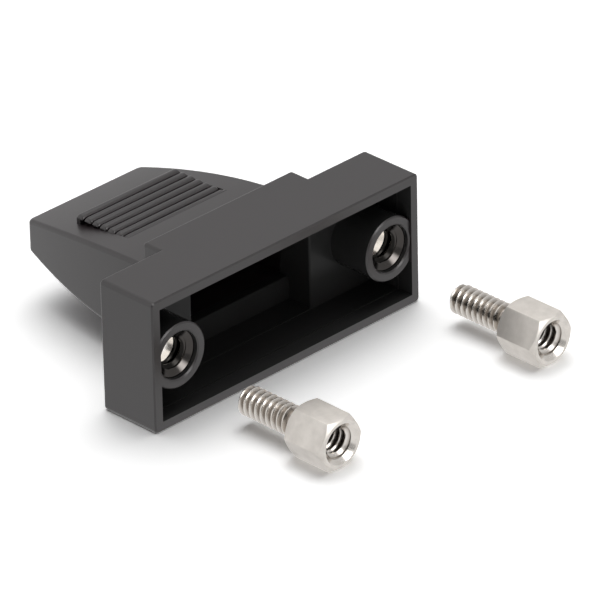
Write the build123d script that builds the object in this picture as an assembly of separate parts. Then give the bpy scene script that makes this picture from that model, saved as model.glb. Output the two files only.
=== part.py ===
"""Moulded D-sub hood with two threaded inserts and its two hex standoffs, in millimetres.

X runs along the flange, Y goes back from the mating face and Z is up. The origin is the
centre of the mating face. The hood stands on the long bottom face of its flange, and the
standoffs lie on the same floor in front of it, each on one of its flats.
"""

import os
from math import radians, sqrt, tan

from build123d import *

# Flange: the box that a connector seats on, with its open pocket
flange_length = 31.3
flange_height = 12.3
ear_depth = 6.2
rim_wall = 0.88
rabbet_depth = 1.6
rabbet_step = 0.12
pocket_depth = 4.4
flange_corner_r = 0.4
front_edge = 0.12
rear_edge_r = 0.25

# Mid-section: the part behind the connector's shell, as high as the flange
mid_width = 17.5
mid_depth = 8.2
mid_side_wall = 1.8
mid_rear_wall = 1.2
sill = 0.22
mid_edge_r = 0.3
mouth_edge = 0.12

# Wedge: the closed body behind, bowed and tapering both ways
body_depth = 24.7
wedge_root_height = 7.96
wedge_rear_height = 2.9
wedge_rear_width = 13.3
wedge_bow = 0.44
wedge_corner_r = 0.7
wedge_edge_r = 0.35
wedge_wall = 1.1
wedge_end_wall = 2.2

# Finger grip: level ribs that stand further out of the wedge towards the rear
rib_count = 6
rib_pitch = 1.0
rib_width = 0.76
rib_length = 11.6
rib_depth = 0.42
rib_tip_height = 0.34
rib_edge_r = 0.28
grip_front = 13.4
grip_rise = 3.62
undercut = 1.3
grip_rear_wall = 0.2

# Bosses for the threaded inserts
screw_spacing = 24.99
boss_diameter = 5.96
boss_setback = 0.19
boss_edge = 0.12
insert_setback = 0.5

# Threaded inserts, moulded in
insert_diameter = 4.3
insert_groove_depth = 0.2
insert_groove_width = 0.9
insert_thread_diameter = 2.24
insert_thread_length = 1.3
insert_countersink_diameter = 4.1
insert_countersink_angle = 55.0
insert_relief_diameter = 3.5

# Hex standoffs
hex_across_flats = 4.5
hex_length = 4.4
hex_face_diameter = 4.4
hex_chamfer_angle = 30.0
stud_diameter = 2.7
stud_length = 6.6
stud_tip_chamfer = 0.35
stud_neck_diameter = 2.2
stud_neck_length = 0.55
socket_diameter = 2.24
socket_depth = 4.0
socket_countersink_diameter = 3.7
socket_countersink_angle = 45.0
standoff_left_x = -9.0
standoff_left_face_y = -15.05
standoff_right_x = 15.35
standoff_right_face_y = -15.85

# Sizes worked out from those above
floor_z = -flange_height / 2
overlap = mid_rear_wall / 2
clear = 1.0
facing_front = Plane(origin=(0, 0, 0), x_dir=(1, 0, 0), z_dir=(0, -1, 0))
from_the_side = Plane(origin=(0, 0, 0), x_dir=(0, 0, 1), z_dir=(-1, 0, 0))


def block(half_x, y_front, y_back, half_z):
    """A box centred on the Y axis."""
    depth = y_back - y_front
    return Pos(0, y_front + depth / 2, 0) * Box(2 * half_x, depth, 2 * half_z)


def disc(x, z, radius, y_front, y_back):
    """A round bar along Y."""
    face = facing_front.offset(-y_front) * Pos(x, z) * Circle(radius)
    return extrude(face, y_front - y_back)


def bowed_outline(half_root, half_rear, y_root, y_rear, bow, plane):
    """The wedge's outline, seen from above or from the side, with its two long sides bowed out."""
    mid = ((half_root + half_rear) / 2 + bow, (y_root + y_rear) / 2)
    y_start = y_root - overlap
    right = [
        Line((half_root, y_start), (half_root, y_root)),
        ThreePointArc((half_root, y_root), mid, (half_rear, y_rear)),
        Line((half_rear, y_rear), (0, y_rear)),
    ]
    left = [edge.mirror(Plane.YZ) for edge in right]
    front = Line((-half_root, y_start), (half_root, y_start))
    return plane * make_face([*right, *left, front])


def wedge(root_width, rear_width, root_height, rear_height, y_root, y_rear, bow):
    """A solid that has one bowed outline in plan and another in elevation."""
    plan = bowed_outline(root_width / 2, rear_width / 2, y_root, y_rear, bow, Plane.XY)
    side = bowed_outline(root_height / 2, rear_height / 2, y_root, y_rear, bow, from_the_side)
    return extrude(plan, root_height, both=True) & extrude(side, root_width, both=True)


def flange():
    """The front box, with soft long edges and crisper rims."""
    body = block(flange_length / 2, 0, ear_depth, flange_height / 2)
    body = fillet(body.edges().filter_by(Axis.Y), flange_corner_r)
    rear = body.faces().sort_by(Axis.Y)[-1]
    body = fillet(rear.edges(), rear_edge_r)
    front = body.faces().sort_by(Axis.Y)[0]
    return chamfer(front.edges(), front_edge)


def mid_section():
    """The step between flange and wedge."""
    body = block(mid_width / 2, ear_depth - rear_edge_r, mid_depth, flange_height / 2)
    lengthwise = body.edges().filter_by(Axis.Y)
    rear = body.faces().sort_by(Axis.Y)[-1].edges()
    body = fillet(lengthwise + rear, mid_edge_r)
    return body + block(mid_width / 2, pocket_depth, ear_depth, flange_height / 2 - mid_edge_r)


def wedge_body():
    """The outer wedge with its corners and edges rounded."""
    body = wedge(
        mid_width, wedge_rear_width, wedge_root_height, wedge_rear_height, mid_depth, body_depth, wedge_bow
    )
    upright = body.edges().filter_by(Axis.Z).sort_by(Axis.Y)[-2:]
    body = fillet(upright, wedge_corner_r)
    behind_root = body.edges().filter_by(lambda edge: edge.center().Y > mid_depth)
    rims = behind_root.filter_by(Axis.Z, reverse=True)
    return fillet(rims, wedge_edge_r)


def rib(y_front):
    """One level rib of the upper grip, rounded along its top edges and ends."""
    top = Pos(0, y_front + rib_width / 2, grip_rise - rib_tip_height / 2)
    bar = top * Box(rib_length, rib_width, rib_tip_height)
    bar = fillet(bar.faces().sort_by(Axis.Z)[-1].edges(), rib_edge_r)
    core_height = grip_rise - rib_tip_height
    core = Pos(0, y_front + rib_width / 2, core_height / 2)
    return bar + core * Box(rib_length - 2 * undercut, rib_width, core_height)


def grip():
    """The ribs, the lower bed that they stand on and the web that closes their undercut at the rear."""
    grip_depth = rib_pitch * (rib_count - 1) + rib_width
    bed_height = grip_rise - rib_depth
    place = Pos(0, grip_front + grip_depth / 2, bed_height / 2)
    bed = place * Box(rib_length - 2 * undercut, grip_depth, bed_height)
    web_height = grip_rise - rib_tip_height
    web_place = Pos(0, grip_front + grip_depth - grip_rear_wall / 2, web_height / 2)
    web = web_place * Box(rib_length, grip_rear_wall, web_height)
    ribs = [rib(grip_front + index * rib_pitch) for index in range(rib_count)]
    return bed + web + ribs


def grooves():
    """The gaps between the ribs and the one in front of them, cut into the wedge where it is high."""
    width = rib_pitch - rib_width
    place = Pos(0, grip_front - width / 2, grip_rise - rib_depth / 2)
    gap = place * Box(rib_length, width, rib_depth)
    return [Pos(0, index * rib_pitch, 0) * gap for index in range(rib_count)]


def eased_mouth(half_x, half_z, y_front):
    """An opening's 45-degree edge: it starts this large and narrows towards the rear."""
    plane = Plane(origin=(0, y_front, 0), x_dir=(1, 0, 0), z_dir=(0, 1, 0))
    return extrude(plane * Rectangle(2 * half_x, 2 * half_z), mouth_edge, taper=45)


def hollow():
    """The pocket for the connector, the space behind it and the taper inside the wedge."""
    half_x = flange_length / 2 - rim_wall
    half_z = flange_height / 2 - rim_wall
    rabbet = block(half_x, -clear, rabbet_depth, half_z)
    pocket = block(half_x - rabbet_step, 0, pocket_depth, half_z - rabbet_step)
    inner_back = mid_depth - mid_rear_wall
    inner_half_x = mid_width / 2 - mid_side_wall
    cavity = block(inner_half_x, rabbet_depth, inner_back, half_z - sill)
    inner_end = body_depth - wedge_end_wall
    share = (inner_end - mid_depth) / (body_depth - mid_depth)
    end_height = wedge_root_height + share * (wedge_rear_height - wedge_root_height)
    end_width = mid_width + share * (wedge_rear_width - mid_width)
    taper = wedge(
        2 * inner_half_x,
        end_width - 2 * mid_side_wall,
        wedge_root_height - 2 * wedge_wall,
        end_height - 2 * wedge_wall,
        inner_back,
        inner_end,
        wedge_bow,
    )
    sides = eased_mouth(inner_half_x + mouth_edge, half_z - sill, pocket_depth)
    lips = eased_mouth(inner_half_x, wedge_root_height / 2 - wedge_wall + mouth_edge, inner_back)
    return rabbet + pocket + cavity + taper + sides + lips


def insert_blank():
    """The outside of a threaded insert, with its retaining groove."""
    radius = insert_diameter / 2
    y_front = boss_setback + insert_setback
    y_middle = (y_front + ear_depth) / 2
    body = disc(0, 0, radius, y_front, ear_depth)
    groove_front = y_middle - insert_groove_width / 2
    groove_back = y_middle + insert_groove_width / 2
    ring = disc(0, 0, radius, groove_front, groove_back)
    ring -= disc(0, 0, radius - insert_groove_depth, groove_front, groove_back)
    return body - ring


def threaded_insert():
    """Nickel-plated bush: countersink, thread core and a wider relief behind it."""
    y_front = boss_setback + insert_setback
    thread_r = insert_thread_diameter / 2
    mouth_r = insert_countersink_diameter / 2
    sink = (mouth_r - thread_r) / tan(radians(insert_countersink_angle))
    relief_front = y_front + sink + insert_thread_length
    bush = insert_blank()
    bush -= disc(0, 0, thread_r, y_front, ear_depth)
    bush -= disc(0, 0, insert_relief_diameter / 2, relief_front, ear_depth)
    cone = Plane(origin=(0, y_front + sink / 2, 0), z_dir=(0, -1, 0)) * Cone(thread_r, mouth_r, sink)
    return bush - cone


def boss():
    """A round boss, open at the front down to the insert, with both rims of its mouth eased."""
    body = disc(0, 0, boss_diameter / 2, boss_setback, ear_depth - rear_edge_r)
    body -= disc(0, 0, insert_diameter / 2, 0, boss_setback + insert_setback)
    mouth = body.faces().sort_by(Axis.Y)[0]
    return chamfer(mouth.edges(), boss_edge)


def hood_shell():
    """The moulding: one solid."""
    top_grip = grip()
    top_grooves = grooves()
    wedge_shape = wedge_body() - top_grooves - [groove.mirror(Plane.XY) for groove in top_grooves]
    shell = flange() + mid_section() + wedge_shape + top_grip + top_grip.mirror(Plane.XY)
    shell -= hollow()
    for side in (-1, 1):
        place = Pos(side * screw_spacing / 2, 0, 0)
        shell += place * boss()
        shell -= place * insert_blank()
    return shell


def hex_standoff():
    """Hex nut with a threaded socket at the front and a stud at the rear, its face at Y = 0."""
    corner_r = hex_across_flats / sqrt(3)
    face_r = hex_face_diameter / 2
    bevel = (corner_r - face_r) * tan(radians(hex_chamfer_angle))
    flats = RegularPolygon(hex_across_flats / 2, 6, major_radius=False)
    nut = extrude(facing_front * flats, -hex_length)
    turned = Polyline(
        (0, 0),
        (face_r, 0),
        (corner_r, bevel),
        (corner_r, hex_length - bevel),
        (face_r, hex_length),
        (0, hex_length),
        (0, 0),
    )
    nut &= revolve(make_face(turned), Axis.Y)
    stud_r = stud_diameter / 2
    neck_r = stud_neck_diameter / 2
    neck_end = hex_length + stud_neck_length
    stud_end = hex_length + stud_length
    stud = Polyline(
        (0, hex_length),
        (neck_r, hex_length),
        (neck_r, neck_end),
        (stud_r, neck_end + stud_r - neck_r),
        (stud_r, stud_end - stud_tip_chamfer),
        (stud_r - stud_tip_chamfer, stud_end),
        (0, stud_end),
        (0, hex_length),
    )
    body = nut + revolve(make_face(stud), Axis.Y)
    socket_r = socket_diameter / 2
    mouth_r = socket_countersink_diameter / 2
    sink = (mouth_r - socket_r) / tan(radians(socket_countersink_angle))
    socket = Polyline(
        (0, 0),
        (mouth_r, 0),
        (socket_r, sink),
        (socket_r, socket_depth),
        (0, socket_depth + socket_r / 2),
        (0, 0),
    )
    return body - revolve(make_face(socket), Axis.Y)


def write(name, shape):
    """One STEP file for a node."""
    shape.label = name
    export_step(shape, f"parts/{name}.step")


os.makedirs("parts", exist_ok=True)
write("hood_shell", hood_shell())

bush = threaded_insert()
write("thread_insert_left", Pos(-screw_spacing / 2, 0, 0) * bush)
write("thread_insert_right", Pos(screw_spacing / 2, 0, 0) * bush)

standoff = hex_standoff()
resting_z = floor_z + hex_across_flats / 2
write("hex_standoff_left", Pos(standoff_left_x, standoff_left_face_y, resting_z) * standoff)
write("hex_standoff_right", Pos(standoff_right_x, standoff_right_face_y, resting_z) * standoff)
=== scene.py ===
import math

import bmesh
import bpy
from mathutils import Matrix, Vector
from mathutils.bvhtree import BVHTree
from mathutils.interpolate import poly_3d_calc


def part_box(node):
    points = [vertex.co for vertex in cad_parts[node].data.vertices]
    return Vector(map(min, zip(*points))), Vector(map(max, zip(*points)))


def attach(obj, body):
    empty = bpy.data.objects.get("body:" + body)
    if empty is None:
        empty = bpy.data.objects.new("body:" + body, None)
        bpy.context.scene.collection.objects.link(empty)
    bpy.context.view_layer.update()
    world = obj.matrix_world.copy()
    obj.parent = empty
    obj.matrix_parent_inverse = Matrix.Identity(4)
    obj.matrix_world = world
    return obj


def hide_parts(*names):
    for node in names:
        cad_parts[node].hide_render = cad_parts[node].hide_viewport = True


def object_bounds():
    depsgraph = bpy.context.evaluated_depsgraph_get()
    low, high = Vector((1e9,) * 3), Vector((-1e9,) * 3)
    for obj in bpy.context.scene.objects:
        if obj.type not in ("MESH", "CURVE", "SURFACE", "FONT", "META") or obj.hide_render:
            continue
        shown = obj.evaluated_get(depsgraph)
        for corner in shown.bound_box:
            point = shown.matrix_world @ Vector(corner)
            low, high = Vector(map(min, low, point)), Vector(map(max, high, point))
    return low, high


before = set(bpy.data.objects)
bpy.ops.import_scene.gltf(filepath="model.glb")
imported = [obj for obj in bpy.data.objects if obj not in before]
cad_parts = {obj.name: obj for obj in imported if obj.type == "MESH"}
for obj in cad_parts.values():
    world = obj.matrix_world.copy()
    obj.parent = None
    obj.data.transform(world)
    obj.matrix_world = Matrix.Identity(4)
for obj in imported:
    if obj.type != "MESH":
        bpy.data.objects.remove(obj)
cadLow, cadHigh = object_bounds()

mm = 0.001
print("frame loaded:", ", ".join(sorted(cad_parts)))


# Shader and geometry maths: a wire is a socket that can be added, multiplied and so on
class Wire:
    def __init__(self, graph, socket):
        self.graph = graph
        self.socket = socket

    def calc(self, operation, first, second=None):
        values = [first] if second is None else [first, second]
        return self.graph.node("ShaderNodeMath", {"operation": operation}, dict(enumerate(values)))

    def __add__(self, other):
        return self.calc("ADD", self, other)

    __radd__ = __add__

    def __mul__(self, other):
        return self.calc("MULTIPLY", self, other)

    __rmul__ = __mul__

    def __sub__(self, other):
        return self.calc("SUBTRACT", self, other)

    def __rsub__(self, other):
        return self.calc("SUBTRACT", other, self)

    def __truediv__(self, other):
        return self.calc("DIVIDE", self, other)

    def __pow__(self, other):
        return self.calc("POWER", self, other)

    def __abs__(self):
        return self.calc("ABSOLUTE", self)

    def __lt__(self, other):
        return self.calc("LESS_THAN", self, other)

    def least(self, other):
        return self.calc("MINIMUM", self, other)

    def most(self, other):
        return self.calc("MAXIMUM", self, other)

    def wave(self, operation):
        return self.calc(operation, self)

    def between(self, low, high):
        return self.graph.node("ShaderNodeClamp", {}, {"Value": self, "Min": low, "Max": high})


class Graph:
    def __init__(self, tree):
        self.tree = tree

    def node(self, kind, settings, inputs, output=0):
        made = self.tree.nodes.new(kind)
        for name, value in settings.items():
            setattr(made, name, value)
        for key, value in inputs.items():
            if isinstance(value, Wire):
                self.tree.links.new(value.socket, made.inputs[key])
            else:
                made.inputs[key].default_value = value
        return Wire(self, made.outputs[output])

    def split(self, vector):
        parts = self.node("ShaderNodeSeparateXYZ", {}, {0: vector})
        return [Wire(self, socket) for socket in parts.socket.node.outputs]

    def noise(self, place, size, detail, stretch=(1, 1, 1)):
        scaled = self.node("ShaderNodeMapping", {}, {"Vector": place, "Scale": stretch})
        values = {"Vector": scaled, "Scale": 1 / size, "Detail": detail}
        return self.node("ShaderNodeTexNoise", {}, values)

    # Sockets 6 and 7 are the Mix node's colours, and its output 2 is the mixed colour
    def blend(self, amount, first, second):
        return self.node("ShaderNodeMix", {"data_type": "RGBA"}, {0: amount, 6: first, 7: second}, 2)


def newMaterial(name):
    material = bpy.data.materials.new(name)
    material.use_nodes = True
    material.node_tree.nodes.clear()
    return material, Graph(material.node_tree)


def finishShader(graph, surface, kind="ShaderNodeOutputMaterial"):
    output = graph.tree.nodes.new(kind)
    graph.tree.links.new(surface.socket, output.inputs["Surface"])


# Black plastic: finely sparked satin outside; in the mouth a greyer, smoother, less glossy copy of it,
# painted light and shade for the recess
plastic = {
    "outsideTone": (0.0150, 0.0100, 0.0110, 1),
    "recessPaintedTone": (0.0500, 0.0500, 0.0500, 1),
    "outsideRoughness": 0.34,
    "insideRoughness": 0.24,
    "roughnessSpread": 0.06,
    "outsideSpecular": 0.80,
    "recessPaintedSpecular": 0.10,
    "leastTone": 0.85,
    "sparkSize": 0.11 * mm,
    "sparkTone": 0.1,
    "sparkDepth": 0.004 * mm,
    "sparkStrength": 0.6,
    "cloudSize": 4.0 * mm,
    "cloudTone": 0.2,
    "mouthHalfWidth": 14.95 * mm,
    "mouthHalfHeight": 5.40 * mm,
    "mouthDepth": 4.5 * mm,
    "coreHalfWidth": 7.2 * mm,
    "coreDepth": 8.0 * mm,
    "rimDepth": 0.01 * mm,
    "bossCentre": 12.495 * mm,
    "bossRadius": 3.1 * mm,
    "bossFace": 0.35 * mm,
}


def hoodPlastic():
    material, graph = newMaterial("hoodPlastic")
    place = graph.node("ShaderNodeTexCoord", {}, {}, "Object")
    x, y, z = graph.split(place)
    p = plastic
    withinHeight = abs(z) < p["mouthHalfHeight"]
    mouth = (abs(x) < p["mouthHalfWidth"]) * (y < p["mouthDepth"])
    core = (abs(x) < p["coreHalfWidth"]) * (y < p["coreDepth"])
    behindRim = 1 - (y < p["rimDepth"])
    fromBoss = ((abs(x) - p["bossCentre"]) ** 2 + z * z) ** 0.5
    bossFace = (fromBoss < p["bossRadius"]) * (y < p["bossFace"])
    # Painted light and shade: the mouth's recess gets a greyer base as painted light and far less gloss as
    # painted shade
    recessPaintMask = withinHeight * behindRim * mouth.most(core) * (1 - bossFace)
    spark = graph.noise(place, p["sparkSize"], 3.0)
    cloud = graph.noise(place, p["cloudSize"], 3.0)
    variation = p["leastTone"] + p["cloudTone"] * cloud + p["sparkTone"] * spark
    relief = graph.node(
        "ShaderNodeBump", {}, {"Strength": p["sparkStrength"], "Distance": p["sparkDepth"], "Height": spark}
    )

    def face(tone, roughness, specular, more):
        shaded = graph.node("ShaderNodeHueSaturation", {}, {"Color": tone, "Value": variation})
        worn = roughness + p["roughnessSpread"] * (cloud - 0.5) + p["roughnessSpread"] * (spark - 0.5)
        values = {"Base Color": shaded, "Roughness": worn, "Specular IOR Level": specular, **more}
        return graph.node("ShaderNodeBsdfPrincipled", {}, values)

    outer = face(p["outsideTone"], p["outsideRoughness"], p["outsideSpecular"], {"Normal": relief})
    recessPaintedShader = face(p["recessPaintedTone"], p["insideRoughness"], p["recessPaintedSpecular"], {})
    finishShader(graph, graph.node("ShaderNodeMixShader", {}, {0: recessPaintMask, 1: outer, 2: recessPaintedShader}))
    return material


# Nickel plate on turned metal: satin flats, glossier turned faces, a few cloudy spots, painted shade in the
# thread roots
nickel = {
    "tone": (0.74, 0.70, 0.655, 1),
    "worn": (0.60, 0.565, 0.525, 1),
    "rootShadeTone": (0.40, 0.365, 0.33, 1),
    "rootSpan": 0.22 * mm,
    "socketEdge": 0.02 * mm,
    "turnedRoughness": 0.20,
    "flatRoughness": 0.52,
    "markSize": 0.05 * mm,
    "markStretch": (0.12, 1, 0.12),
    "markSpread": 0.06,
    "markDepth": 0.0015 * mm,
    "markStrength": 0.5,
    "cloudSize": 0.9 * mm,
    "cloudContrast": 1.6,
    "cloudStart": 0.55,
    "cloudSpread": 0.10,
}


def nickelPlate(name, axis, sizes):
    material, graph = newMaterial(name)
    place = graph.node("ShaderNodeTexCoord", {}, {}, "Object")
    x, y, z = graph.split(place)
    n = nickel
    fromAxis = ((x - axis.x) ** 2 + (z - axis.z) ** 2) ** 0.5
    flats = 1 - (fromAxis < sizes["faceRadius"])
    behindHex = 1 - (y < axis.y + sizes["hexLength"])
    # Painted shade: the plate darkens to the root tone towards the roots of the stud's thread and of the
    # socket's thread
    studRootShade = ((sizes["studRadius"] - fromAxis) / n["rootSpan"]).between(0, 1) * behindHex
    socketDepth = ((fromAxis - sizes["socketRadius"]) / n["rootSpan"] + 1).between(0, 1)
    socketDepth = socketDepth * (1 - behindHex) * (fromAxis < sizes["socketRadius"] + n["socketEdge"])
    marks = graph.noise(place, n["markSize"], 2.0, n["markStretch"])
    cloud = graph.noise(place, n["cloudSize"], 4.0)
    plate = graph.blend((cloud * n["cloudContrast"] - n["cloudStart"]).between(0, 1), n["tone"], n["worn"])
    tone = graph.blend(studRootShade.most(socketDepth), plate, n["rootShadeTone"])
    shading = n["markSpread"] * (marks - 0.5)
    shaded = graph.node("ShaderNodeHueSaturation", {}, {"Color": tone, "Value": 1 + shading})
    roughness = n["turnedRoughness"] + (n["flatRoughness"] - n["turnedRoughness"]) * flats
    roughness = roughness + n["cloudSpread"] * (cloud - 0.5) + shading
    relief = graph.node(
        "ShaderNodeBump",
        {},
        {"Strength": n["markStrength"], "Distance": n["markDepth"], "Height": marks * (1 - flats)},
    )
    values = {"Base Color": shaded, "Metallic": 1.0, "Roughness": roughness, "Normal": relief}
    finishShader(graph, graph.node("ShaderNodeBsdfPrincipled", {}, values))
    return material


# The moulded-in bushes: dark in the mouth, darker in the thread as painted shade, and near white in the bore
# behind as painted light
bushMetal = {
    "mouthTone": (0.060, 0.055, 0.052, 1),
    "threadShadeTone": (0.016, 0.015, 0.014, 1),
    "boreLightTone": (0.97, 0.93, 0.88, 1),
    "threadStart": 1.20 * mm,
    "boreStart": 2.60 * mm,
    "roughness": 0.16,
    "roughnessSpread": 0.12,
    "leastTone": 0.9,
    "cloudSize": 0.7 * mm,
    "cloudTone": 0.2,
}


def bushPlate():
    material, graph = newMaterial("bushMetal")
    place = graph.node("ShaderNodeTexCoord", {}, {}, "Object")
    y = graph.split(place)[1]
    b = bushMetal
    # By depth along the hole: painted shade in the thread, painted light in the bore behind
    bore = 1 - (y < b["boreStart"])
    threaded = 1 - (y < b["threadStart"])
    cloud = graph.noise(place, b["cloudSize"], 3.0)
    front = graph.blend(threaded, b["mouthTone"], b["threadShadeTone"])
    tone = graph.blend(bore, front, b["boreLightTone"])
    variation = b["leastTone"] + b["cloudTone"] * cloud
    shaded = graph.node("ShaderNodeHueSaturation", {}, {"Color": tone, "Value": variation})
    roughness = b["roughness"] + b["roughnessSpread"] * (cloud - 0.5)
    values = {"Base Color": shaded, "Metallic": 1.0, "Roughness": roughness}
    finishShader(graph, graph.node("ShaderNodeBsdfPrincipled", {}, values))
    return material


hoodMaterial = hoodPlastic()
insertMaterial = bushPlate()
print("materials made")


def addObject(name, data):
    made = bpy.data.objects.new(name, data)
    bpy.context.scene.collection.objects.link(made)
    return made


def meshFrom(name, shape):
    mesh = bpy.data.meshes.new(name)
    shape.to_mesh(mesh)
    shape.free()
    return mesh


def shapeFrom(meshes):
    shape = bmesh.new()
    for mesh in meshes:
        shape.from_mesh(mesh)
        bpy.data.meshes.remove(mesh)
    return shape


def openEdgesOf(shape):
    return sum(1 for edge in shape.edges if not edge.is_manifold)


# A finished shape as a mesh of one material, smooth between its sharp edges
def smoothMesh(name, shape, material, sharpAngle):
    mesh = meshFrom(name, shape)
    mesh.materials.clear()
    mesh.materials.append(material)
    mesh.polygons.foreach_set("material_index", [0] * len(mesh.polygons))
    mesh.shade_smooth()
    mesh.set_sharp_from_angle(angle=math.radians(sharpAngle))
    return mesh


# The plain mesh that a holder's modifiers give, and the holder goes
def finishedMesh(holder):
    holder.update_tag()
    mesh = bpy.data.meshes.new_from_object(holder.evaluated_get(bpy.context.evaluated_depsgraph_get()))
    bpy.data.objects.remove(holder)
    return mesh


# Geometry Nodes: a tree with named inputs, and the wires that come from them
def startTree(name, wanted):
    tree = bpy.data.node_groups.new(name, "GeometryNodeTree")
    identifiers = {}
    for title, kind in wanted.items():
        socket = tree.interface.new_socket(title, in_out="INPUT", socket_type=kind)
        identifiers[title] = socket.identifier
    tree.interface.new_socket("Geometry", in_out="OUTPUT", socket_type="NodeSocketGeometry")
    graph = Graph(tree)
    entry = tree.nodes.new("NodeGroupInput")
    given = {title: Wire(graph, entry.outputs[title]) for title in wanted}
    return graph, identifiers, given


def finishTree(graph, geometry, material):
    plain = graph.node("GeometryNodeRealizeInstances", {}, {"Geometry": geometry})
    painted = graph.node("GeometryNodeSetMaterial", {}, {"Geometry": plain, "Material": material})
    result = graph.tree.nodes.new("NodeGroupOutput")
    graph.tree.links.new(painted.socket, result.inputs["Geometry"])


def grownMesh(tree, identifiers, values):
    holder = addObject("holder", bpy.data.meshes.new("holder"))
    modifier = holder.modifiers.new("nodes", "NODES")
    modifier.node_group = tree
    for title, value in values.items():
        modifier[identifiers[title]] = value
    return finishedMesh(holder)


# The finger grips on both wide faces: rounded level ribs, whose tips overhang a narrower bed
grip = {
    "count": 7,
    "pitch": 0.936 * mm,
    "firstRib": 12.995 * mm,
    "ribHalfWidth": 0.40 * mm,
    "ribHalfLength": 5.8 * mm,
    "ribTop": 3.62 * mm,
    "ribRound": 0.32 * mm,
    "ribBottom": 3.24 * mm,
    "ribEnd": 0.30 * mm,
    "endWidth": 0.80,
    "endSink": 0.15,
    "bedHalfWidth": 4.53 * mm,
    "bedTop": 3.26 * mm,
    "bedRoot": 2.55 * mm,
    "webDepth": 0.20 * mm,
    "roundSteps": 12,
    "endSteps": 4,
}


# One rib's section at a place along it: flat below, half an ellipse above
def ribSection(share, middleY):
    halfWidth = grip["ribHalfWidth"] * (grip["endWidth"] + (1 - grip["endWidth"]) * share)
    shoulder = grip["ribTop"] - grip["ribRound"]
    points = [(middleY - halfWidth, grip["ribBottom"])]
    for step in range(grip["roundSteps"] + 1):
        angle = math.pi * (1 - step / grip["roundSteps"])
        rise = grip["ribRound"] * (share * math.sin(angle) + (share - 1) * grip["endSink"])
        points.append((middleY + halfWidth * math.cos(angle), shoulder + rise))
    points.append((middleY + halfWidth, grip["ribBottom"]))
    return points


# A closed mesh over loops of points, from the first loop to the last
def skinnedMesh(name, loops):
    shape = bmesh.new()
    rings = [[shape.verts.new(point) for point in loop] for loop in loops]
    for first, second in zip(rings, rings[1:]):
        for index in range(len(first)):
            following = (index + 1) % len(first)
            shape.faces.new([first[index], first[following], second[following], second[index]])
    shape.faces.new(rings[0][::-1])
    shape.faces.new(rings[-1])
    bmesh.ops.recalc_face_normals(shape, faces=shape.faces)
    return meshFrom(name, shape)


def ribMesh():
    straight = grip["ribHalfLength"] - grip["ribEnd"]
    middleY = grip["firstRib"] + grip["ribHalfWidth"]
    angles = [math.pi / 2 * step / grip["endSteps"] for step in range(grip["endSteps"] + 1)]
    stations = [(-straight - grip["ribEnd"] * math.cos(angle), math.sin(angle)) for angle in angles]
    stations += [(-x, share) for x, share in reversed(stations)]
    return skinnedMesh("rib", [[(x, y, z) for y, z in ribSection(share, middleY)] for x, share in stations])


def prism(outline, halfLength):
    return skinnedMesh("prism", [[(x, y, z) for y, z in outline] for x in (-halfLength, halfLength)])


def rectangle(front, back, low, high):
    return [(front, low), (back, low), (back, high), (front, high)]


def ribRow():
    wanted = {
        "Rib": "NodeSocketObject",
        "Count": "NodeSocketInt",
        "Pitch": "NodeSocketFloat",
        "Material": "NodeSocketMaterial",
    }
    graph, identifiers, given = startTree("ribRow", wanted)
    step = graph.node("ShaderNodeCombineXYZ", {}, {1: given["Pitch"]})
    row = graph.node("GeometryNodeMeshLine", {}, {"Count": given["Count"], "Offset": step})
    source = graph.node("GeometryNodeObjectInfo", {}, {"Object": given["Rib"]}, "Geometry")
    placed = graph.node("GeometryNodeInstanceOnPoints", {}, {"Points": row, "Instance": source})
    finishTree(graph, placed, given["Material"])
    rib = addObject("rib", ribMesh())
    values = {"Rib": rib, "Count": grip["count"], "Pitch": grip["pitch"], "Material": hoodMaterial}
    mesh = grownMesh(graph.tree, identifiers, values)
    bpy.data.objects.remove(rib)
    return mesh


# The moulding is a copy of the hood: its old grip is cut out, the holes are filled, the new grip goes on
hoodWork = {
    "wedgeSide": ((8.2 * mm, 3.98 * mm), (16.45 * mm, 3.155 * mm), (24.7 * mm, 1.45 * mm)),
    "pocketFloor": 3.20 * mm,
    "pocketHeadroom": 1.0 * mm,
    "pocketClearance": 0.02 * mm,
    "slotFront": 13.1 * mm,
    "slotFloor": 2.95 * mm,
    "slotSteps": 4,
    "groundBack": 15.43 * mm,
    "sharpAngle": 32,
    "weldDistance": 0.0005 * mm,
}

# Small steps between those solids, so that no two of their faces lie in one plane
apart = {
    "pocketBack": 0.02 * mm,
    "slotBack": 0.05 * mm,
    "slotTop": 0.006 * mm,
    "slotSide": 0.013 * mm,
    "groundFront": 0.02 * mm,
    "groundTop": 0.005 * mm,
    "groundSide": 0.01 * mm,
    "bedBack": 0.01 * mm,
    "webBack": 0.005 * mm,
    "webTop": 0.01 * mm,
    "webSide": 0.05 * mm,
}

# The copy is a thousand times larger while it is worked on, so these are in millimetres
largeWork = {
    "mergeDistance": 0.0008,
    "collapseDistance": 0.0004,
    "normalStep": 0.01,
    "normalReach": 0.006,
    "normalMatch": 0.98,
}


# Height of the wedge's bowed face over its middle plane
def wedgeHeight(y):
    (y1, z1), (y2, z2), (y3, z3) = hoodWork["wedgeSide"]
    turn = 2 * (y1 * (z2 - z3) + y2 * (z3 - z1) + y3 * (z1 - z2))
    squares = [y1 * y1 + z1 * z1, y2 * y2 + z2 * z2, y3 * y3 + z3 * z3]
    middleY = (squares[0] * (z2 - z3) + squares[1] * (z3 - z1) + squares[2] * (z1 - z2)) / turn
    middleZ = (squares[0] * (y3 - y2) + squares[1] * (y1 - y3) + squares[2] * (y2 - y1)) / turn
    radius = math.hypot(y1 - middleY, z1 - middleZ)
    return middleZ + math.sqrt(radius * radius - (y - middleY) ** 2)


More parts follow.
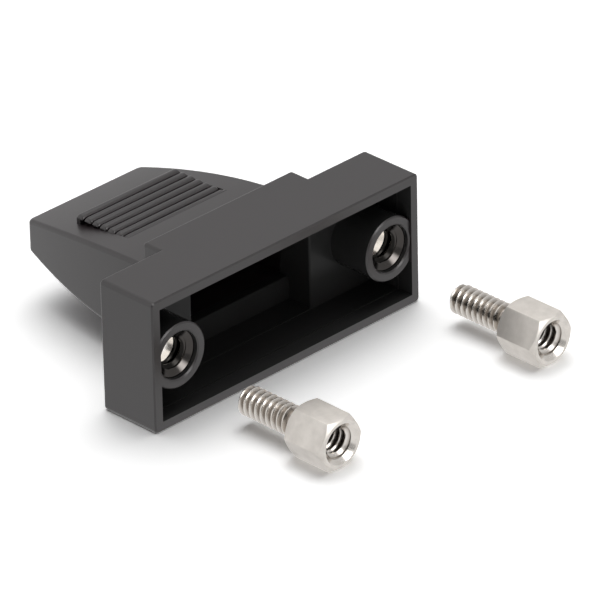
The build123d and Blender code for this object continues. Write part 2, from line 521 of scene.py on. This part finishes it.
# The pocket to cut, and what is filled in: the wedge's face in front, the ground, bed, web and ribs
def gripSolids():
    w = hoodWork
    gripBack = grip["firstRib"] + grip["pitch"] * (grip["count"] - 1) + 2 * grip["ribHalfWidth"]
    bedFront = grip["firstRib"] + grip["ribHalfWidth"]
    halfWidth = grip["ribHalfLength"] + w["pocketClearance"]
    pocketTop = grip["ribTop"] + w["pocketHeadroom"]
    pocket = rectangle(bedFront, gripBack + apart["pocketBack"], w["pocketFloor"], pocketTop)
    slotLength = bedFront + apart["slotBack"] - w["slotFront"]
    places = [w["slotFront"] + slotLength * step / w["slotSteps"] for step in range(w["slotSteps"] + 1)]
    slot = [(places[0], w["slotFloor"]), (places[-1], w["slotFloor"])]
    slot += [(y, wedgeHeight(y) + apart["slotTop"]) for y in reversed(places)]
    groundFront = bedFront - apart["groundFront"]
    ground = rectangle(groundFront, w["groundBack"], w["slotFloor"], grip["bedTop"] - apart["groundTop"])
    bed = rectangle(bedFront, gripBack - apart["bedBack"], grip["bedRoot"], grip["bedTop"])
    webFront = gripBack - grip["webDepth"]
    web = rectangle(webFront, gripBack - apart["webBack"], grip["bedRoot"], grip["bedTop"] + apart["webTop"])
    fills = [
        prism(slot, halfWidth + apart["slotSide"]),
        prism(ground, halfWidth + apart["groundSide"]),
        prism(bed, grip["bedHalfWidth"]),
        prism(web, halfWidth - apart["webSide"]),
        ribRow(),
    ]
    return prism(pocket, halfWidth), fills


# The same solid over the upper and the lower face, as one large mesh
def onBothFaces(mesh):
    shape = shapeFrom([mesh])
    other = bmesh.ops.duplicate(shape, geom=shape.verts[:] + shape.edges[:] + shape.faces[:])["geom"]
    turned = [item for item in other if isinstance(item, bmesh.types.BMVert)]
    bmesh.ops.transform(shape, verts=turned, matrix=Matrix.Diagonal((1, 1, -1, 1)))
    bmesh.ops.reverse_faces(shape, faces=[item for item in other if isinstance(item, bmesh.types.BMFace)])
    shape.transform(Matrix.Scale(1 / mm, 4))
    return meshFrom("bothFaces", shape)


def combine(mesh, others, operation):
    holder = addObject("hoodHolder", mesh)
    tools = []
    for other in others:
        tool = addObject("tool", onBothFaces(other))
        modifier = holder.modifiers.new("shape", "BOOLEAN")
        modifier.operation = operation
        modifier.solver = "EXACT"
        modifier.object = tool
        tools.append(tool)
    result = finishedMesh(holder)
    for tool in tools:
        bpy.data.objects.remove(tool)
    return result


# Corners that still lie on the copied surface keep the normals they had there
def borrowNormals(mesh, source):
    corners = [vert.co.copy() for vert in source.vertices]
    tree = BVHTree.FromPolygons(corners, [tuple(face.vertices) for face in source.polygons])
    given = [Vector(corner.vector) for corner in source.corner_normals]
    normals = [Vector(corner.vector) for corner in mesh.corner_normals]
    borrowed = 0
    for face in mesh.polygons:
        for loop in face.loop_indices:
            corner = mesh.vertices[mesh.loops[loop].vertex_index].co
            spot = corner + (face.center - corner).normalized() * largeWork["normalStep"]
            place, facing, index, distance = tree.find_nearest(spot, largeWork["normalReach"])
            if index is None or facing.dot(face.normal) < largeWork["normalMatch"]:
                continue
            found = source.polygons[index]
            shares = poly_3d_calc([corners[vertex] for vertex in found.vertices], place)
            mixed = Vector((0, 0, 0))
            for share, other in zip(shares, found.loop_indices):
                mixed += given[other] * share
            normals[loop] = mixed.normalized()
            borrowed += 1
    mesh.normals_split_custom_set(normals)
    print(borrowed, "of", len(normals), "corner normals borrowed")


def makeHood():
    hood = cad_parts["hood_shell"]
    pocket, fills = gripSolids()
    shape = bmesh.new()
    shape.from_mesh(hood.data)
    bmesh.ops.remove_doubles(shape, verts=shape.verts, dist=hoodWork["weldDistance"])
    print("hood copied,", openEdgesOf(shape), "open edges")
    shape.transform(Matrix.Scale(1 / mm, 4))
    cut = combine(meshFrom("hoodCopy", shape), [pocket], "DIFFERENCE")
    shape = shapeFrom([combine(cut, fills, "UNION")])
    bmesh.ops.remove_doubles(shape, verts=shape.verts, dist=largeWork["mergeDistance"])
    bmesh.ops.dissolve_degenerate(shape, edges=shape.edges, dist=largeWork["collapseDistance"])
    openEdges = openEdgesOf(shape)
    mesh = smoothMesh("moulded_hood", shape, hoodMaterial, hoodWork["sharpAngle"])
    source = hood.data.copy()
    source.transform(Matrix.Scale(1 / mm, 4))
    borrowNormals(mesh, source)
    bpy.data.meshes.remove(source)
    mesh.transform(Matrix.Scale(mm, 4))
    piece = addObject("moulded_hood", mesh)
    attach(piece, "root")
    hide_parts("hood_shell")
    print("moulded_hood made,", len(mesh.polygons), "faces,", openEdges, "open edges")


makeHood()


# Screw thread: a sheet wrapped round the Y axis, whose rows follow the helix
thread = {
    "pitch": 0.635 * mm,
    "depth": 0.33 * mm,
    "around": 96,
    "rowsPerTurn": 16,
    "crestRows": 1,
    "flankRows": 5,
    "mergeDistance": 0.0005 * mm,
}


# Run Out is how steeply the thread rises from its two ends
def threadTree():
    wanted = {
        "Base Radius": "NodeSocketFloat",
        "Depth": "NodeSocketFloat",
        "Pitch": "NodeSocketFloat",
        "Start": "NodeSocketFloat",
        "Length": "NodeSocketFloat",
        "Turns": "NodeSocketInt",
        "Run Out": "NodeSocketFloat",
        "Material": "NodeSocketMaterial",
    }
    graph, identifiers, given = startTree("threadSheet", wanted)
    rows = given["Turns"] * thread["rowsPerTurn"] + 1
    sheet = graph.node(
        "GeometryNodeMeshGrid",
        {},
        {"Size X": 1.0, "Size Y": 1.0, "Vertices X": thread["around"] + 1, "Vertices Y": rows},
    )
    across, along = graph.split(graph.node("GeometryNodeInputPosition", {}, {}))[:2]
    turn = across + 0.5
    step = (along + 0.5) * given["Turns"]
    distance = ((step - turn) * given["Pitch"]).most(0.0).least(given["Length"])
    fromCrest = abs(step.wave("FRACT") - 0.5) * thread["rowsPerTurn"]
    rise = ((thread["crestRows"] + thread["flankRows"] - fromCrest) / thread["flankRows"]).between(0, 1)
    ends = distance.least(given["Length"] - distance) * given["Run Out"]
    height = (rise * abs(given["Depth"])).least(ends)
    radius = given["Base Radius"] + height * given["Depth"].wave("SIGN")
    angle = turn * math.tau
    wrapped = graph.node(
        "ShaderNodeCombineXYZ",
        {},
        {0: radius * angle.wave("COSINE"), 1: given["Start"] + distance, 2: radius * angle.wave("SINE")},
    )
    shaped = graph.node("GeometryNodeSetPosition", {}, {"Geometry": sheet, "Position": wrapped})
    closing = {"Geometry": shaped, "Distance": thread["mergeDistance"]}
    closed = graph.node("GeometryNodeMergeByDistance", {}, closing)
    finishTree(graph, closed, given["Material"])
    return graph.tree, identifiers


threadGroup, threadInputs = threadTree()


def threadMesh(baseRadius, depth, start, length, runOut, material):
    values = {
        "Base Radius": baseRadius,
        "Depth": depth,
        "Pitch": thread["pitch"],
        "Start": start,
        "Length": length,
        "Turns": math.ceil(length / thread["pitch"]) + 1,
        "Run Out": runOut,
        "Material": material,
    }
    return grownMesh(threadGroup, threadInputs, values)


# Turned bodies, for the standoffs and the bushes
turnedWork = {
    "bevelAngle": 22,
    "sharpAngle": 28,
    "mergeDistance": 0.002 * mm,
    "collapseDistance": 0.0005 * mm,
}


# Rings round the Y axis, each with a radius and a place that may change round it
def ringMesh(rings, bevel=0.0):
    shape = bmesh.new()
    loops = []
    around = thread["around"]
    for radius, distance in rings:
        loop = []
        if radius == 0:
            loop = [shape.verts.new((0, distance, 0))]
        else:
            for index in range(around):
                angle = math.tau * index / around
                size = radius(angle) if callable(radius) else radius
                depth = distance(angle) if callable(distance) else distance
                loop.append(shape.verts.new((size * math.cos(angle), depth, size * math.sin(angle))))
        loops.append(loop)
    for first, second in zip(loops, loops[1:]):
        for index in range(around):
            following = (index + 1) % around
            corners = [first[index % len(first)], first[following % len(first)]]
            corners += [second[following % len(second)], second[index % len(second)]]
            shape.faces.new(list(dict.fromkeys(corners)))
    if bevel:
        bmesh.ops.recalc_face_normals(shape, faces=shape.faces)
        least = math.radians(turnedWork["bevelAngle"])
        sharp = [edge for edge in shape.edges if edge.is_manifold and edge.calc_face_angle() > least]
        bmesh.ops.bevel(
            shape, geom=sharp, offset=bevel, segments=2, profile=0.5, affect="EDGES", clamp_overlap=True
        )
    return meshFrom("rings", shape)


def joinPiece(name, meshes, place, material, nodeName):
    shape = shapeFrom(meshes)
    bmesh.ops.remove_doubles(shape, verts=shape.verts, dist=turnedWork["mergeDistance"])
    bmesh.ops.dissolve_degenerate(shape, edges=shape.edges, dist=turnedWork["collapseDistance"])
    bmesh.ops.recalc_face_normals(shape, faces=shape.faces)
    openEdges = openEdgesOf(shape)
    shape.transform(Matrix.Translation(place))
    mesh = smoothMesh(name, shape, material, turnedWork["sharpAngle"])
    piece = addObject(name, mesh)
    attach(piece, "root")
    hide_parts(nodeName)
    print(name, "made,", len(mesh.polygons), "faces,", openEdges, "open edges")


# The middle of a node's front end, which the piece in its place starts from
def frontOf(nodeName):
    low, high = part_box(nodeName)
    return Vector(((low.x + high.x) / 2, low.y, (low.z + high.z) / 2))


# Hex standoffs
standoff = {
    "acrossFlats": 4.5 * mm,
    "hexLength": 4.4 * mm,
    "faceRadius": 2.12 * mm,
    "chamferAngle": 36.0,
    "neckLength": 0.55 * mm,
    "studLength": 6.6 * mm,
    "studRadius": 1.35 * mm,
    "studRunOut": 1.0,
    "socketRadius": 1.45 * mm,
    "socketDepth": 4.0 * mm,
    "socketRunOut": 1.2,
    "mouthRadius": 1.85 * mm,
    "edge": 0.012 * mm,
}


def hexRadius(angle):
    fromFlat = (angle % (math.pi / 3)) - math.pi / 6
    return standoff["acrossFlats"] / 2 / math.cos(fromFlat)


def hexBevel(angle):
    return (hexRadius(angle) - standoff["faceRadius"]) * math.tan(math.radians(standoff["chamferAngle"]))


def makeStandoff(side):
    s = standoff
    place = frontOf(f"hex_standoff_{side}")
    plate = nickelPlate(f"standoffNickel_{side}", place, s)
    rootRadius = s["studRadius"] - thread["depth"]
    neckEnd = s["hexLength"] + s["neckLength"]
    studEnd = s["hexLength"] + s["studLength"]
    mouthDepth = s["mouthRadius"] - s["socketRadius"]
    body = ringMesh(
        [
            (rootRadius, neckEnd),
            (rootRadius, s["hexLength"]),
            (s["faceRadius"], s["hexLength"]),
            (hexRadius, lambda angle: s["hexLength"] - hexBevel(angle)),
            (hexRadius, hexBevel),
            (s["faceRadius"], 0.0),
            (s["mouthRadius"], 0.0),
            (s["socketRadius"], mouthDepth),
        ],
        s["edge"],
    )
    socketLength = s["socketDepth"] - mouthDepth
    socket = threadMesh(
        s["socketRadius"], -thread["depth"], mouthDepth, socketLength, s["socketRunOut"], plate
    )
    bottom = ringMesh([(s["socketRadius"], s["socketDepth"]), (0, s["socketDepth"] + s["socketRadius"] / 2)])
    stud = threadMesh(rootRadius, thread["depth"], neckEnd, studEnd - neckEnd, s["studRunOut"], plate)
    tip = ringMesh([(rootRadius, studEnd), (0, studEnd)])
    name = f"threaded_standoff_{side}"
    parts = [body, socket, bottom, stud, tip]
    joinPiece(name, parts, place, plate, f"hex_standoff_{side}")


# Threaded bushes, in the hood's two bosses
insert = {
    "radius": 2.15 * mm,
    "length": 5.51 * mm,
    "grooveDepth": 0.2 * mm,
    "grooveWidth": 0.9 * mm,
    "mouthRadius": 2.05 * mm,
    "threadRadius": 1.58 * mm,
    "sinkDepth": 0.36 * mm,
    "threadLength": 1.5 * mm,
    "runOut": 1.5,
    "reliefRadius": 1.75 * mm,
}


def makeInsert(side):
    s = insert
    place = frontOf(f"thread_insert_{side}")
    threadEnd = s["sinkDepth"] + s["threadLength"]
    grooveFront = (s["length"] - s["grooveWidth"]) / 2
    grooveBack = (s["length"] + s["grooveWidth"]) / 2
    grooveRadius = s["radius"] - s["grooveDepth"]
    body = ringMesh(
        [
            (s["threadRadius"], s["sinkDepth"]),
            (s["mouthRadius"], 0.0),
            (s["radius"], 0.0),
            (s["radius"], grooveFront),
            (grooveRadius, grooveFront),
            (grooveRadius, grooveBack),
            (s["radius"], grooveBack),
            (s["radius"], s["length"]),
            (s["reliefRadius"], s["length"]),
            (s["reliefRadius"], threadEnd),
            (s["threadRadius"], threadEnd),
        ]
    )
    turns = threadMesh(
        s["threadRadius"], -thread["depth"], s["sinkDepth"], s["threadLength"], s["runOut"], insertMaterial
    )
    name = f"threaded_bush_{side}"
    joinPiece(name, [body, turns], place, insertMaterial, f"thread_insert_{side}")


for side in ("left", "right"):
    makeStandoff(side)
    makeInsert(side)


# Stage: pale floor, soft light and the camera
stage = {
    "floorSize": 3.0,
    "floorTone": (0.85, 0.85, 0.85, 1),
    "floorSeen": (1.42, 1.42, 1.42, 1),
    "floorInGloss": 0.95,
    "skyLow": 0.12,
    "skyHigh": 3.0,
    "skyTowards": (0.24, 0.24, 0.94),
    "skySpread": 8.0,
    "seenSky": 0.71,
    "dimTowards": (-0.613, -0.624, 0.485),
    "dimStart": 0.55,
    "dimmest": 0.55,
    "boxTowards": (0.02, -0.86, 0.50),
    "boxStart": 0.95,
    "boxBright": 9.0,
    "sideTowards": (-0.73, 0.62, 0.29),
    "sideStart": 0.60,
    "sideBright": 0.40,
    "keyPlace": (0.08, 0.10, 0.50),
    "keySize": 0.50,
    "keyPower": 0.5,
}


def seenDirectly(graph):
    camera, glossy, through = (
        graph.node("ShaderNodeLightPath", {}, {}, kind)
        for kind in ("Is Camera Ray", "Is Glossy Ray", "Is Transmission Ray")
    )
    return camera, glossy.most(through)


def makeFloor(height):
    mesh = bpy.data.meshes.new("floor")
    half = stage["floorSize"] / 2
    corners = [(-half, -half, height), (half, -half, height), (half, half, height), (-half, half, height)]
    mesh.from_pydata(corners, [], [(0, 1, 2, 3)])
    floor = addObject("floor", mesh)
    material, graph = newMaterial("paleFloor")
    camera, mirrored = seenDirectly(graph)
    tone = graph.blend(camera, stage["floorTone"], stage["floorSeen"])
    diffuse = graph.node("ShaderNodeBsdfDiffuse", {}, {"Color": tone})
    white = graph.node("ShaderNodeEmission", {}, {"Color": (1, 1, 1, 1), "Strength": stage["floorInGloss"]})
    finishShader(graph, graph.node("ShaderNodeMixShader", {}, {0: mirrored, 1: diffuse, 2: white}))
    mesh.materials.append(material)


# The sky lights from above and a little from behind. Seen in gloss it is even, but dimmer on the side
# that the photograph was taken from, with one soft box in front and a lighter patch at the left
def makeWorld():
    world = bpy.data.worlds.new("studio")
    bpy.context.scene.world = world
    world.use_nodes = True
    world.node_tree.nodes.clear()
    graph = Graph(world.node_tree)
    direction = graph.node("ShaderNodeTexCoord", {}, {}, "Generated")

    def towards(target):
        unit = tuple(Vector(target).normalized())
        return graph.node("ShaderNodeVectorMath", {"operation": "DOT_PRODUCT"}, {0: direction, 1: unit}, 1)

    def rising(value, start):
        return ((value - start) / (1 - start)).between(0, 1)

    light = stage["skyLow"] + stage["skyHigh"] * towards(stage["skyTowards"]).most(0) ** stage["skySpread"]
    dimming = rising(towards(stage["dimTowards"]), stage["dimStart"]) * (1 - stage["dimmest"])
    box = rising(towards(stage["boxTowards"]), stage["boxStart"]) * stage["boxBright"]
    side = rising(towards(stage["sideTowards"]), stage["sideStart"]) * stage["sideBright"]
    gloss = stage["seenSky"] * (1 - dimming) + box + side
    camera, mirrored = seenDirectly(graph)
    strength = light * (1 - mirrored) + gloss * mirrored
    strength = strength * (1 - camera) + camera
    background = graph.node("ShaderNodeBackground", {}, {"Color": (1, 1, 1, 1), "Strength": strength})
    finishShader(graph, background, "ShaderNodeOutputWorld")


def makeKeyLight():
    data = bpy.data.lights.new("keyLight", "AREA")
    data.shape = "DISK"
    data.size = stage["keySize"]
    data.energy = stage["keyPower"]
    lamp = addObject("keyLight", data)
    lamp.location = stage["keyPlace"]
    lamp.rotation_mode = "QUATERNION"
    lamp.rotation_quaternion = Vector(stage["keyPlace"]).to_track_quat("Z", "Y")


# Camera: the angle, distance and lens of the photograph
view = {
    "azimuth": -44.515,
    "elevation": 28.985,
    "roll": -1.274,
    "distance": 588.53 * mm,
    "right": 1.3086 * mm,
    "up": -0.1226 * mm,
    "focalPixels": 7052.7,
    "imagePixels": 608,
    "sensor": 36.0,
    "nearest": 0.01,
    "farthest": 20,
}


def makeCamera():
    azimuth, elevation, roll = (math.radians(view[key]) for key in ("azimuth", "elevation", "roll"))
    reach = math.cos(elevation)
    back = Vector((math.sin(azimuth) * reach, -math.cos(azimuth) * reach, math.sin(elevation)))
    level = Vector((math.cos(azimuth), math.sin(azimuth), 0))
    upright = back.cross(level)
    right = math.cos(roll) * level + math.sin(roll) * upright
    up = -math.sin(roll) * level + math.cos(roll) * upright
    data = bpy.data.cameras.new("camera")
    data.sensor_width = view["sensor"]
    data.lens = view["focalPixels"] / view["imagePixels"] * view["sensor"]
    data.clip_start = view["nearest"]
    data.clip_end = view["farthest"]
    camera = addObject("camera", data)
    place = back * view["distance"] + right * view["right"] + up * view["up"]
    turned = Matrix((right, up, back)).transposed().to_4x4()
    camera.matrix_world = Matrix.Translation(place) @ turned
    bpy.context.scene.camera = camera


makeFloor(cadLow.z)
makeWorld()
makeKeyLight()
makeCamera()
bpy.context.scene.view_settings.view_transform = "Standard"
print("stage set")
